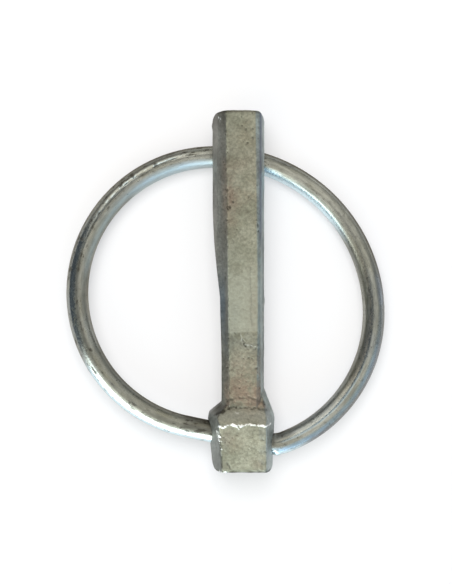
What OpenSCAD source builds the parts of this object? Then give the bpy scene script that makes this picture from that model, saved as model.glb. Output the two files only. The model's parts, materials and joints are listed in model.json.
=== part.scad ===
// Linch pin: a forged pin with a square-sided head, and a spring-wire ring
// whose two ends turn in a cross bore through the head.
//
// The pin is drawn about the middle of its cross bore: +Y runs along the shank
// to the tip, +X to the right of the front face, +Z out of the front face.
// The finished part lies on its back at rest: the head and the far side of the
// ring touch the ground, and the shank lies on the ring. The origin is on the
// ground under the middle of the part.

/* [Pin] */
// Overall length of the pin, from the end of the head to the tip
pin_l = 65.6; // [60:0.2:76]
// Depth of the shank, from the front flat to the back flat
shank_d = 8.6; // [7.6:0.1:9.4]
// Width of the tip half of the shank
shank_w = 9.5; // [8.8:0.1:10.5]
// Width of the half of the shank next to the head
neck_w = 7.75; // [7:0.05:8.5]
// Distance from the middle of the bore to the shank's right side
shank_right = 4.2; // [3.9:0.05:4.6]
// Length, measured from the bore, at which the shank starts to widen
swell_start = 26; // [18:0.5:30]
// Length over which the shank widens to its full width
swell_l = 18; // [8:0.5:22]
// Radius of the tip's left corner
tip_left_r = 2.1; // [0.8:0.1:3]
// Radius of the tip's right corner
tip_right_r = 1.5; // [0.8:0.1:3]
// Length of the slope on the tip's end face, from each flat to the middle
tip_slope = 0.4; // [0.2:0.1:1]

/* [Shank edges] */
// Width of the left edges' bevel, seen from the front
left_bevel = 1.45; // [1:0.05:1.7]
// Width of the left side's slope at the tip half, seen from the front
left_slope = 1.0; // [0.4:0.05:1.2]
// Width of the right edges' bevel, seen from the front
right_bevel = 0.65; // [0.4:0.05:1]
// Width of the right side's slope, seen from the front
right_slope = 0.75; // [0.4:0.05:1]

/* [Head] */
// Distance from the middle of the bore to the end of the head
head_end = 5.6; // [5:0.1:7]
// Distance from the middle of the bore to the head's shoulders
head_shoulder = 4.7; // [4.2:0.1:5.5]
// Width of the head at its shoulders
head_w = 12.3; // [11.4:0.1:13]
// Width of the head at its end
head_end_w = 10.5; // [9.8:0.1:11.4]
// Depth of the head at the ridge above its front face
head_d = 12; // [11.5:0.1:12.8]
// Depth of the head at its end
head_end_d = 11.2; // [10.6:0.1:11.4]
// Distance from the middle of the bore to that ridge
ridge_up = 3.3; // [2.6:0.1:3.8]
// Width of the slope on the head's left side, seen from the front
head_left_slope = 2.3; // [1.6:0.1:2.6]
// Width of the slope on the head's right side, seen from the front
head_right_slope = 1.65; // [1.2:0.05:2]
// Radius of the corners at the head's end
head_corner_r = 1.0; // [0.4:0.1:1.4]
// Length, measured from the bore, at which the bevel above the ridge ends
bevel_top = 5.9; // [5.6:0.1:6.8]
// Length, measured from the bore, at which the left side of the neck flares
flare_left = 6.7; // [6:0.1:8]
// Length, measured from the bore, at which the right side of the neck flares
flare_right = 9.3; // [8:0.1:12]

/* [Ring] */
// Diameter of the ring's wire
wire_d = 4; // [3.6:0.1:4.2]
// Inside width of the ring
ring_inside = 50.8; // [46:0.2:54]
// How much larger the radius of the ring's top is than that of its left side
ring_bulge = 3.8; // [2.5:0.1:5]
// Angle, up from the right, at which the ring's left and top arcs meet
ring_join = 98; // [85:1:110]
// Distance from the middle of the bore to the end of the ring's straight leg
ring_leg = 10.3; // [9:0.1:13]
// Distance from the middle of the bore to the bend in the ring's right end
bend_at = 5.2; // [4.9:0.1:6]
// Radius of that bend, to the middle of the wire
bend_r = 5; // [4:0.1:6]
// Gap between the wire's two ends, inside the bore
end_gap = 1.5; // [0.6:0.1:3]

/* [Bore and fits] */
// Angle between the bore and a line square to the shank
bore_skew = 11.7; // [8:0.1:14]
// Radial clearance of the wire in the bore
bore_clearance = 0.05; // [0.02:0.01:0.1]
// How much wider, in radius, the bore is at its flared mouths
mouth_flare = 0.6; // [0.5:0.05:0.9]
// Gap between the closed ring and the shank
wire_gap = 0.15; // [0.1:0.05:0.3]

/* [Hidden] */
$fn = 96;
big = 200;

wire_r = wire_d / 2;
join_gap = 0.1;
join_bead = 0.03;
tip = pin_l - head_end;

// The pin's outline, seen from the front, at half its depth.
shank_left = shank_right - shank_w;
neck_left = shank_right - neck_w;
swell_end = swell_start + swell_l;
head_right = head_w / 2;
head_left = -head_w / 2;
head_end_right = head_right - (head_w - head_end_w) / 4;
head_end_left = head_end_right - head_end_w;
shoulder_drop = 1.0;
shoulder_in = 0.2;

// The points of an arc about a centre, from one angle to another.
function arc(centre, r, from, to, steps = 8) =
    [for (i = [0:steps])
        let (a = from + (to - from) * i / steps)
        centre + r * [cos(a), sin(a)]];

// The directions along the bore and square to it, seen from the front.
along = [cos(bore_skew), -sin(bore_skew)];
square_to = [sin(bore_skew), cos(bore_skew)];

// The ring is three arcs and a bend, each tangent to the next, between two
// straight ends on the bore's line.
left_r = (ring_inside + wire_d - ring_bulge * (1 - cos(ring_join))) / 2;
top_r = left_r + ring_bulge;
left_c = -ring_leg * along + left_r * square_to;
top_c = left_c - ring_bulge * [cos(ring_join), sin(ring_join)];

// The right arc's radius is the one whose bend starts at bend_at: the bend's
// circle touches both the right arc, from inside, and the bore's line.
top_s = top_c * along;
top_n = top_c * square_to;
span_s = bend_at - top_s;
drop_a = top_r - top_n;
drop_b = top_r + top_n - 2 * bend_r;
right_less = (drop_a * drop_b - span_s * span_s) / (drop_a * (1 - sin(bore_skew))
    + drop_b * (1 + sin(bore_skew)) - 2 * span_s * cos(bore_skew));
right_r = top_r - right_less;
right_c = top_c + [right_less, 0];
bend_c = bend_at * along + bend_r * square_to;
bend_from = atan2(bend_c.y - right_c.y, bend_c.x - right_c.x);
bend_to = -90 - bore_skew;

// How far the closed ring leans back from the pin's mid-plane, so that its wire
// passes behind the shank with the gap.
cross_x = shank_left + left_slope + left_bevel;
cross_y = left_c.y + sqrt(left_r * left_r - pow(cross_x - left_c.x, 2));
cross_n = [cross_x, cross_y] * square_to;
ring_lean = asin((shank_d / 2 + wire_r + wire_gap) / cross_n);
// The ring turns from behind the shank, round past the head, to its front.
ring_travel = 360 - 2 * ring_lean;

// How far the pin's tip is raised, with the end of the head on the ground and
// a point of the ring, given along and square to the bore, at wire height.
function tilt_on(low) =
    let (a = head_end - low.x * sin(bore_skew)
            + low.y * cos(ring_lean) * cos(bore_skew),
        b = head_end_d / 2 - low.y * sin(ring_lean))
    asin(wire_r / norm([a, b])) - atan2(b, a);
first_tilt = tilt_on([top_s, top_n + top_r]);
low_turn = atan2(sin(bore_skew) * sin(first_tilt),
    sin(ring_lean) * cos(first_tilt)
    - cos(ring_lean) * cos(bore_skew) * sin(first_tilt));
tilt = tilt_on([top_s, top_n] + top_r * [sin(low_turn), cos(low_turn)]);
bore_h = head_end * sin(tilt) + head_end_d / 2 * cos(tilt);

// The middle of the whole part's box, measured from the bore.
mid_x = (left_c.x - left_r + top_c.x + top_r) / 2;
mid_y = (tip * cos(tilt) - head_end * cos(tilt)
    - head_end_d / 2 * sin(tilt)) / 2;

// Puts a piece that is drawn about the bore where the part lies at rest.
module at_rest() {
    translate([-mid_x, -mid_y, bore_h]) rotate([tilt, 0, 0]) children();
}

// Cuts away all that lies outside a plane. The plane runs through an edge, up
// from one [x, y] point to another at a height, and leans out below it.
module edge_cut(from, to, height, lean, right) {
    turn = atan2(from.x - to.x, to.y - from.y);
    translate([from.x, from.y, height])
        rotate([0, 0, turn])
        rotate([0, right ? -lean : lean, 0])
        translate([right ? 0 : -big, -big / 2, -big / 2])
        cube(big);
}

// Makes the same cuts at the front and at the back.
module both_faces() {
    for (back = [0, 1]) mirror([0, 0, back]) children();
}

// A flat blank with the given outline, seen from the front.
module front_blank(outline, depth) {
    linear_extrude(depth, center = true) polygon(outline);
}

// A blank with the given outline of [y, z] points, seen from the side. The
// outline is the front half, and the back half mirrors it.
module side_blank(outline, width) {
    rotate([90, 0, 90]) linear_extrude(width, center = true)
        for (back = [0, 1]) mirror([0, back]) polygon(outline);
}

module shank() {
    difference() {
        intersection() {
            front_blank(concat(
                [[shank_right, 0]],
                arc([shank_right - tip_right_r, tip - tip_right_r],
                    tip_right_r, 0, 90),
                arc([shank_left + tip_left_r, tip - tip_left_r],
                    tip_left_r, 90, 180),
                [[shank_left, swell_end], [neck_left, swell_start],
                 [neck_left, 0]]), big);
            side_blank([[0, 0], [tip, 0], [tip - tip_slope, shank_d / 2],
                [0, shank_d / 2]], big);
        }
        both_faces() {
            // Left bevel, then the left side's slope
            edge_cut([neck_left + left_bevel, 0],
                [shank_left + left_slope + left_bevel, tip],
                shank_d / 2, 45, false);
            edge_cut([shank_left, 0], [shank_left, tip], 0,
                -atan(left_slope / (shank_d / 2 - left_bevel)), false);
            // Right bevel, then the right side's slope
            edge_cut([shank_right - right_slope - right_bevel, 0],
                [shank_right - right_slope - right_bevel, tip],
                shank_d / 2, 45, true);
            edge_cut([shank_right, 0], [shank_right, tip], 0,
                -atan(right_slope / (shank_d / 2 - right_bevel)), true);
        }
    }
}

// The head, with the neck's flares and the bevel down to the shank.
module head() {
    difference() {
        intersection() {
            front_blank(concat(
                arc([head_end_left + head_corner_r, head_corner_r - head_end],
                    head_corner_r, 180, 270),
                arc([head_end_right - head_corner_r, head_corner_r - head_end],
                    head_corner_r, 270, 360),
                [[head_right, 0], [head_right, head_shoulder - shoulder_drop],
                 [head_right - shoulder_in, head_shoulder],
                 [(head_right + shank_right) / 2, flare_left],
                 [shank_right, flare_right], [neck_left, flare_right],
                 [neck_left, flare_left],
                 [head_left + shoulder_in, head_shoulder],
                 [head_left, head_shoulder - shoulder_drop]]), big);
            side_blank([[-head_end, 0], [flare_right, 0],
                [flare_right, shank_d / 2], [bevel_top, shank_d / 2],
                [ridge_up, head_d / 2], [-head_end, head_end_d / 2]], big);
        }
        both_faces() {
            // The sides' slopes
            edge_cut([head_left, 0], [head_left, 1], 0,
                -atan(head_left_slope * 2 / head_d), false);
            edge_cut([head_right, 0], [head_right, 1], 0,
                -atan(head_right_slope * 2 / head_d), true);
            // The slopes of the flares, from the head to the shank's flat
            edge_cut([head_left + left_bevel, head_shoulder],
                [neck_left + left_bevel, flare_left],
                shank_d / 2, atan(left_bevel * 2 / shank_d), false);
            edge_cut([head_right - right_bevel - right_slope, head_shoulder],
                [shank_right - right_bevel - right_slope, flare_right],
                shank_d / 2, atan((right_bevel + right_slope) * 2 / shank_d),
                true);
        }
    }
}

module bore() {
    bore_r = wire_r + bore_clearance;
    flare_at = bend_at - wire_r / 2;
    rotate([0, 0, -bore_skew]) {
        rotate([0, 90, 0]) cylinder(h = 2 * head_w, r = bore_r, center = true);
        for (side = [0, 1]) mirror([side, 0, 0])
            translate([flare_at, 0, 0]) rotate([0, 90, 0])
            cylinder(h = head_w / 2 + wire_r - flare_at,
                r1 = bore_r, r2 = bore_r + mouth_flare);
    }
}

module pin() {
    color([0.57, 0.56, 0.50]) at_rest() difference() {
        union() {
            shank();
            head();
        }
        bore();
    }
}

// A straight length of the ring's wire, on the bore's line.
module wire_straight(from, to) {
    rotate([0, 0, -bore_skew]) translate([from, 0, 0]) rotate([0, 90, 0])
        cylinder(h = to - from, r = wire_r);
}

// A curved length of the ring's wire, which stops just short of both its ends.
module wire_arc(centre, r, from, to) {
    short = asin(join_gap / r);
    translate([centre.x, centre.y, 0]) rotate([0, 0, from + short])
        rotate_extrude(angle = to - from - 2 * short)
        translate([r, 0]) circle(wire_r);
}

// A bead that joins two lengths of wire into one, a hair thicker than the wire.
module wire_join(at) {
    translate([at.x, at.y, 0]) sphere(wire_r + join_bead);
}

module ring() {
    color([0.46, 0.48, 0.49]) at_rest()
        rotate(a = -ring_lean, v = [along.x, along.y, 0]) {
            wire_straight(join_gap - ring_leg, -end_gap / 2);
            wire_join(-ring_leg * along);
            wire_arc(left_c, left_r, ring_join, 270 - bore_skew);
            wire_join(left_c + left_r * [cos(ring_join), sin(ring_join)]);
            wire_arc(top_c, top_r, 0, ring_join);
            wire_join(top_c + [top_r, 0]);
            wire_arc(right_c, right_r, bend_from, 0);
            wire_join(bend_c + bend_r * [cos(bend_from), sin(bend_from)]);
            wire_arc(bend_c, bend_r, bend_to, bend_from);
            wire_join(bend_at * along);
            wire_straight(end_gap / 2, bend_at - join_gap);
        }
}

pin();
ring();
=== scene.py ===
"""Linch pin: a forged, zinc-plated pin and its spring-wire ring, dressed over
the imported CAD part. The pin is a lofted surface with a true bore, and the ring
is one length of wire swept along arcs that meet smoothly."""
import json
import math

import bpy
import numpy as np
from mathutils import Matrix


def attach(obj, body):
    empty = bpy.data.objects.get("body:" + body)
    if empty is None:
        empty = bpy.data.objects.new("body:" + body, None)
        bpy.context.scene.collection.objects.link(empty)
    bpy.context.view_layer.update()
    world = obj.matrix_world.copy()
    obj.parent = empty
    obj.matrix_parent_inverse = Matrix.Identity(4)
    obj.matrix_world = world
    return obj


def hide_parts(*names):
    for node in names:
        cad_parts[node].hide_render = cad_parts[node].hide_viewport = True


bl_info = {
    "name": "Linch Pin",
    "version": (1, 0, 0),
    "blender": (4, 5, 0),
    "location": "3D View > Sidebar > Linch Pin",
    "description": "Builds a forged linch pin, its wire ring and a plain studio",
    "category": "Object",
}

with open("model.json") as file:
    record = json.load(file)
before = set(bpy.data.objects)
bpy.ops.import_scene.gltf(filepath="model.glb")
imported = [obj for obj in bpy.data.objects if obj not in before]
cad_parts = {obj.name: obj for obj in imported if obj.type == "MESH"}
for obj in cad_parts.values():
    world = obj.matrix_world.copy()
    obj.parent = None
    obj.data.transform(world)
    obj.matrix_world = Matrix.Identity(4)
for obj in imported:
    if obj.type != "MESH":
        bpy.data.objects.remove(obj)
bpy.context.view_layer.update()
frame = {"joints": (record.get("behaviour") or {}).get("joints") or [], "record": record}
HINGE = next(j for j in frame["joints"] if j["name"] == "ring_hinge")
SHANK = next(m for m in frame["record"]["mounts"] if m["name"] == "shank")
# The bore's middle, and how steeply the pin rises toward its tip
PIVOT = np.array(HINGE["pos_m"])
TILT = math.atan2(SHANK["axis"][2], SHANK["axis"][1])
MM = 0.001
# Which way a side looks
LEFT, RIGHT = -1.0, 1.0
# Rows along the pin and points round it, and points round the wire
PIN_ROWS, PIN_AROUND, WIRE_AROUND = 424, 228, 96
# How sharply the flat sides meet, more being sharper
SHANK_EDGES, HEAD_EDGES = 110.0, 150.0


# ---------------------------------------------------------------- settings

def length(name, description, mm, low, high):
    """A size, given in millimetres and kept in metres."""
    return bpy.props.FloatProperty(
        name=name, description=description, default=mm * MM,
        min=low * MM, max=high * MM, precision=5, unit="LENGTH")


def degrees(name, description, value, low, high):
    """An angle, given in degrees and kept in radians."""
    return bpy.props.FloatProperty(
        name=name, description=description, default=math.radians(value),
        min=math.radians(low), max=math.radians(high), unit="ROTATION")


def colour(name, description, rgb):
    """A colour, given as linear red, green and blue."""
    return bpy.props.FloatVectorProperty(
        name=name, description=description, default=rgb, min=0.0, max=1.0,
        size=3, subtype="COLOR")


class PinSizes(bpy.types.PropertyGroup):
    """Sizes of the forging."""
    tip: length("Tip", "Distance from the bore to the tip", 60.0, 54, 70)
    shank_d: length("Shank depth", "From the front flat to the back flat", 8.6, 7.6, 9.4)
    shank_right: length("Right side", "From the bore to the shank's right side", 4.2, 3.9, 4.6)
    shank_w: length("Shank width", "Width of the tip half", 9.5, 8.8, 10.5)
    neck_w: length("Neck width", "Width of the half next to the head", 7.75, 7.0, 8.5)
    swell_start: length("Swell start", "Where the shank starts to widen", 26.0, 18, 30)
    swell_l: length("Swell length", "Length over which it widens", 18.0, 8, 22)
    left_bevel: length("Left bevel", "Width of the left edges' bevel", 1.45, 1.0, 1.7)
    left_slope: length("Left slope", "Width of the left side's slope", 1.0, 0.4, 1.2)
    right_bevel: length("Right bevel", "Width of the right edges' bevel", 0.65, 0.4, 1.0)
    right_slope: length("Right slope", "Width of the right side's slope", 0.75, 0.4, 1.0)
    head_end: length("Head end", "From the bore to the end of the head", 5.6, 5.0, 7.0)
    shoulder: length("Shoulders", "From the bore to the head's shoulders", 4.7, 4.2, 5.5)
    head_w: length("Head width", "Width of the head at its shoulders", 12.3, 11.4, 13.0)
    head_end_w: length("Head end width", "Width of the head at its end", 10.5, 9.8, 11.4)
    head_d: length("Head depth", "Depth of the head at its ridge", 12.0, 11.5, 12.8)
    head_end_d: length("Head end depth", "Depth of the head at its end", 11.2, 10.6, 11.4)
    ridge_up: length("Ridge", "From the bore to the head's ridge", 3.3, 2.6, 3.8)
    head_left_slope: length("Head left slope", "Width of the left side's slope", 2.3, 1.6, 2.6)
    head_right_slope: length("Head right slope",
                             "Width of the right side's slope",
                             1.65, 1.2, 2.0)
    bevel_top: length("Bevel top", "Where the bevel above the ridge ends", 5.9, 5.6, 6.8)
    flare_left: length("Left flare", "Where the neck's left side flares", 6.7, 6.0, 8.0)
    flare_right: length("Right flare", "Where the neck's right side flares", 9.3, 8.0, 12.0)
    tip_left_r: length("Left tip corner", "Radius of the tip's left corner", 2.4, 1.0, 3.0)
    tip_right_r: length("Right tip corner", "Radius of the tip's right corner", 2.4, 1.0, 3.0)
    tip_chamfer: length("Tip edge", "Width of the worn edge round the tip", 0.45, 0.1, 1.0)


class RingSizes(bpy.types.PropertyGroup):
    """Sizes of the ring and of the bore it turns in."""
    wire_d: length("Wire", "Diameter of the wire", 4.0, 3.6, 4.2)
    inside: length("Inside width", "Inside width of the ring", 50.8, 46, 54)
    bulge: length("Bulge", "How much larger the top's radius is", 3.8, 2.5, 5)
    join: degrees("Join", "Where the left and top arcs meet", 98, 85, 110)
    leg: length("Leg", "From the bore's middle to the leg's end", 10.3, 9, 13)
    bend_at: length("Bend", "From the bore's middle to the bend", 5.2, 4.9, 6)
    bend_r: length("Bend radius", "Radius of the bend", 5.0, 4, 6)
    end_gap: length("End gap", "Gap between the wire's ends", 1.5, 0.6, 3)
    skew: degrees("Skew", "How far the bore is off square", 11.7, 8, 14)
    clearance: length("Clearance", "Of the wire in the bore", 0.05, 0.02, 0.1)
    flare: length("Mouth flare", "How much wider the bore's mouths are", 0.6, 0.5, 0.9)
    gap: length("Shank gap", "Between the closed ring and the shank", 0.15, 0.1, 0.3)


class PlatingLook(bpy.types.PropertyGroup):
    """Colours of the plating, the bare metal with its painted glint, the ring's painted
    highlight, and the dirt and painted shade.
    """
    pin_light: colour("Pin light", "Bright plating on the pin", (0.329, 0.319, 0.251))
    pin_dark: colour("Pin dark", "Dull plating on the pin", (0.240, 0.235, 0.178))
    pin_warm: colour("Pin warm", "Yellower plating on the pin", (0.285, 0.262, 0.196))
    pin_clean: colour("Pin clean", "The pin's least worn plating", (0.350, 0.347, 0.282))
    pin_rust: colour("Pin rust", "Rust bloom on the pin", (0.262, 0.196, 0.150))
    ring_light: colour("Ring light", "Bright plating on the ring", (0.360, 0.364, 0.328))
    ring_dark: colour("Ring dark", "Dull plating on the ring", (0.240, 0.245, 0.225))
    ring_cool: colour("Ring cool", "Bluer plating on the ring", (0.270, 0.295, 0.305))
    ring_rust: colour("Ring rust", "Yellowed plating on the ring", (0.228, 0.220, 0.162))
    # A painted highlight on the ring, cyan-white
    ring_highlight: colour("Ring bare", "Where the ring is rubbed bright", (0.76, 0.93, 1.0))
    # Bare metal on the burrs, painted near white as a glint
    bare: colour("Bare metal", "Burrs rubbed bright", (1.0, 1.0, 0.97))
    # Dark colour for dirt and for painted shade
    grime_and_shade: colour("Grime", "Dirt in creases and pits", (0.042, 0.036, 0.027))


class StudioSetup(bpy.types.PropertyGroup):
    """The ground and the camera above it."""
    camera_h: length("Camera height", "Above the ground", 300, 200, 800)
    camera_y: length("Camera place", "How far the camera is toward the tip", -0.23, -20, 20)
    view_h: length("View height", "What the camera takes in, at the ring", 108.04, 80, 200)
    ring_plane: length("Ring height", "Mean height of the ring", 4.0, 0, 10)
    floor_size: length("Floor", "Width of the ground", 4000, 1000, 8000)


# ------------------------------------------------------------------- noise

def lattice(cells, seed):
    """A repeatable number from 0 to 1 for each whole-number cell."""
    a, b, c = (cells[..., i].astype(np.uint64) for i in range(3))
    h = (a * np.uint64(73856093)) ^ (b * np.uint64(19349663)) \
        ^ (c * np.uint64(83492791)) ^ np.uint64(seed * 2654435761 % 2**32)
    h = (h ^ (h >> np.uint64(13))) * np.uint64(1274126177)
    h = h ^ (h >> np.uint64(16))
    return (h & np.uint64(0xFFFF)).astype(float) / 65535.0


def noise(points, seed=0):
    """Smooth noise from -1 to 1: values at the corners of unit cells, mixed
    with cubic weights."""
    shifted = points + 4096.0
    cell = np.floor(shifted)
    t = shifted - cell
    w = t * t * (3.0 - 2.0 * t)
    total = np.zeros(points.shape[:-1])
    for corner in np.ndindex(2, 2, 2):
        pick = np.array(corner)
        weight = np.prod(np.where(pick, w, 1.0 - w), axis=-1)
        total += weight * lattice(cell + pick, seed)
    return total * 2.0 - 1.0


def layered(points, octaves, seed=0):
    """Noise added up over octaves, each twice as fine and half as strong."""
    return sum(noise(points * 2.0**i, seed + i) / 2.0**i for i in range(octaves))


def rise(x, low, high):
    """0 below low, 1 above high, and a smooth rise between."""
    t = np.clip((x - low) / (high - low), 0.0, 1.0)
    return t * t * (3.0 - 2.0 * t)


def fall(x, low, high):
    """1 below low, 0 above high, and a smooth fall between."""
    return 1.0 - rise(x, low, high)


def unit(x):
    """Kept from 0 to 1."""
    return np.clip(x, 0.0, 1.0)


def bump(x, middle, width):
    """A bell curve, 1 at its middle."""
    return np.exp(-((x - middle) / width) ** 2)


# ------------------------------------------------------------------ meshes

def new_object(name, data):
    """An object in the scene, with its mesh, lamp or camera."""
    new = bpy.data.objects.new(name, data)
    bpy.context.scene.collection.objects.link(new)
    return new


def closed_loft(name, rings, first, last):
    """A closed mesh from rings of points, shaped (rows, points, 3), joined row
    to row, with a fan to one point at each end."""
    rows, around = rings.shape[:2]
    points = np.vstack([rings.reshape(-1, 3), [first, last]])
    row, col = np.meshgrid(np.arange(rows - 1), np.arange(around), indexing="ij")
    beside = (col + 1) % around
    quads = np.stack([row * around + col, row * around + beside,
                      (row + 1) * around + beside, (row + 1) * around + col],
                     axis=-1).reshape(-1, 4)
    i = np.arange(around)
    j = (i + 1) % around
    top = (rows - 1) * around
    fans = np.concatenate([
        np.stack([j, i, np.full(around, rows * around)], axis=-1),
        np.stack([top + i, top + j, np.full(around, rows * around + 1)],
                 axis=-1)])
    mesh = bpy.data.meshes.new(name)
    mesh.vertices.add(len(points))
    mesh.vertices.foreach_set("co", points.astype(np.float32).ravel())
    loops = np.concatenate([quads.ravel(), fans.ravel()]).astype(np.int32)
    sizes = np.concatenate([np.full(len(quads), 4), np.full(len(fans), 3)])
    mesh.loops.add(len(loops))
    mesh.loops.foreach_set("vertex_index", loops)
    mesh.polygons.add(len(sizes))
    starts = np.concatenate([[0], np.cumsum(sizes)[:-1]])
    mesh.polygons.foreach_set("loop_start", starts.astype(np.int32))
    mesh.polygons.foreach_set("use_smooth", np.ones(len(sizes), dtype=bool))
    mesh.update(calc_edges=True)
    mesh.validate()
    return new_object(name, mesh)


def read_out(items, key):
    """One vector for each vertex or normal of a mesh."""
    values = np.empty(len(items) * 3, dtype=np.float32)
    items.foreach_get(key, values)
    return values.reshape(-1, 3)


def paint(piece, name, values):
    """Keeps one number, or one vector, for each vertex, for the material."""
    values = np.asarray(values, dtype=np.float32)
    kind = "FLOAT" if values.ndim == 1 else "FLOAT_VECTOR"
    layer = piece.data.attributes.new(name, kind, "POINT")
    layer.data.foreach_set("value" if kind == "FLOAT" else "vector", values.ravel())


def tilted(points, angle):
    """Points turned about the x axis, from y toward z."""
    x, y, z = np.moveaxis(points, -1, 0)
    return np.stack([x, y * math.cos(angle) - z * math.sin(angle),
                     y * math.sin(angle) + z * math.cos(angle)], axis=-1)


def at_rest(points):
    """Moves points drawn about the bore to where the pin lies at rest."""
    return tilted(points, TILT) + PIVOT


def about_bore(points):
    """The other way: from where the pin lies to points about the bore."""
    return tilted(points - PIVOT, -TILT)


def bore_line(r):
    """Directions along the bore, and square to it toward the tip."""
    return (np.array([math.cos(r.skew), -math.sin(r.skew), 0.0]),
            np.array([math.sin(r.skew), math.cos(r.skew), 0.0]))


# --------------------------------------------------------------------- pin

def plane(normal, point):
    """A flat side: the direction it faces, and how far out it lies."""
    normal = np.array(normal, float) / np.linalg.norm(normal)
    return normal, float(normal @ np.array(point, float))


def side_plane(low, high, outward, lean=0.0, face=1.0, height=0.0):
    """A side that looks left or right, through an edge from one [x, y] point
    to another. The edge lies at a height on the front face (1) or the back
    (-1), and from there the side leans in toward that face."""
    along = np.subtract(high, low)
    out = np.array([along[1], -along[0]]) * outward / np.linalg.norm(along)
    return plane([*(out * math.cos(lean)), face * math.sin(lean)], [*low, face * height])


def walls(points, outward):
    """Upright sides along a line of [x, y] points."""
    return [side_plane(low, high, outward) for low, high in zip(points, points[1:])]


def corner_planes(centre, radius, start, stop, count):
    """Flats round an upright corner, from one bearing to another."""
    bearings = np.linspace(start, stop, count + 2)[1:-1]
    return [plane([math.cos(a), math.sin(a), 0],
                  [centre[0] + radius * math.cos(a),
                   centre[1] + radius * math.sin(a), 0]) for a in bearings]


def nearness(origins, rays, planes):
    """One over the distance along each ray to each plane."""
    return np.stack([np.maximum(rays @ normal, 0.0)
                     / np.maximum(offset - origins @ normal, 1e-7)
                     for normal, offset in planes])


def reach(near, sharp):
    """How far each ray gets before it leaves all the planes: the smallest of
    the distances to them, with the edges rounded by a power mean."""
    most = np.maximum(near.max(axis=0), 1.0)
    crowd = ((near / most) ** sharp).sum(axis=0) ** (1.0 / sharp)
    return 1.0 / (most * crowd)


def shank_planes(p):
    """The flat sides of the shank: flats, bevels, side slopes and tip."""
    half = p.shank_d / 2
    right = p.shank_right
    left = right - p.shank_w
    neck = right - p.neck_w
    bevel = math.radians(45)
    left_lean = math.atan(p.left_slope / (half - p.left_bevel))
    right_lean = math.atan(p.right_slope / (half - p.right_bevel))
    # The right bevel's edge bows out a little on its way to the tip
    edge = right - p.right_slope - p.right_bevel
    bow = [[edge, 12 * MM], [edge + 0.18 * MM, 24 * MM], [edge - 0.28 * MM, p.tip]]
    planes = corner_planes([left + p.tip_left_r, p.tip - p.tip_left_r],
                           p.tip_left_r, math.pi / 2, math.pi, 5)
    planes += corner_planes([right - p.tip_right_r, p.tip - p.tip_right_r],
                            p.tip_right_r, 0.0, math.pi / 2, 5)
    # The worn tip falls away toward both corners
    planes += [plane([-0.24, 1, 0], [left + 2.1 * MM, p.tip - 0.37 * MM, 0]),
               plane([0.21, 1, 0], [right - 1.9 * MM, p.tip - 0.27 * MM, 0])]
    for face in (1.0, -1.0):
        planes += [
            plane([0, 0, face], [0, 0, face * half]),
            side_plane([neck + p.left_bevel, 0],
                       [left + p.left_slope + p.left_bevel, p.tip],
                       LEFT, bevel, face, half),
            side_plane([left, 0], [left, 1], LEFT, left_lean, face),
            side_plane(*bow[:2], RIGHT, bevel, face, half),
            side_plane(*bow[1:], RIGHT, bevel, face, half),
            side_plane([right, 0], [right, 1], RIGHT, right_lean, face),
            plane([0, 1, face * 0.09], [0, p.tip, 0]),
            plane([0, 1, face * 1.1],
                  [0, p.tip - p.tip_chamfer, face * half]),
        ]
    return planes


def head_planes(p):
    """The flat sides of the head, its flares and the bevel above its ridge."""
    half = p.shank_d / 2
    wide = p.head_w / 2
    end = p.head_end + 0.15 * MM
    end_right = wide - (p.head_w - p.head_end_w) / 4
    end_left = end_right - p.head_end_w
    neck = p.shank_right - p.neck_w
    right_edge = p.right_bevel + p.right_slope
    corner, inset = 0.9 * MM, 0.2 * MM
    top = p.shoulder - 1.0 * MM
    planes = corner_planes([end_left + corner - 0.3 * MM, corner - end],
                           corner, math.pi, math.pi * 1.5, 3)
    planes += corner_planes([end_right - corner, corner - end], corner, -math.pi / 2, 0.0, 3)
    planes += walls([[end_left - 0.35 * MM, -end], [-wide - 0.06 * MM, top]], LEFT)
    planes += walls([[-wide, top], [-wide + inset, p.shoulder], [neck, p.flare_left]], LEFT)
    planes += walls([[end_right, -end], [wide, top],
                     [wide - inset, p.shoulder],
                     [(wide + p.shank_right) / 2, p.flare_left],
                     [p.shank_right, p.flare_right]], RIGHT)
    climb = (p.head_d - p.head_end_d) / 2 / (p.ridge_up + p.head_end)
    slope = (p.head_d / 2 - half) / (p.bevel_top - p.ridge_up)
    for face in (1.0, -1.0):
        ridge = [0, p.ridge_up, face * p.head_d / 2]
        planes += [
            plane([0, -climb, face], ridge),
            plane([0, slope, face], ridge),
            side_plane([-wide + 0.45 * MM, -end],
                       [-wide - 0.3 * MM, p.ridge_up + 0.4 * MM], LEFT,
                       math.atan(p.head_left_slope * 2 / p.head_d), face),
            side_plane([wide, 0], [wide, 1], RIGHT,
                       math.atan(p.head_right_slope * 2 / p.head_d), face),
            side_plane([-wide + p.left_bevel, p.shoulder],
                       [neck + p.left_bevel, p.flare_left], LEFT,
                       math.atan(p.left_bevel / half), face, half),
            side_plane([wide - right_edge, p.shoulder],
                       [p.shank_right - right_edge, p.flare_right], RIGHT,
                       math.atan(right_edge / half), face, half),
            plane([0, -1, face * 0.03], [0, -end, 0]),
            plane([0, -1, face * 1.2],
                  [0, 0.25 * MM - end, face * p.head_end_d / 2]),
        ]
    return planes


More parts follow.
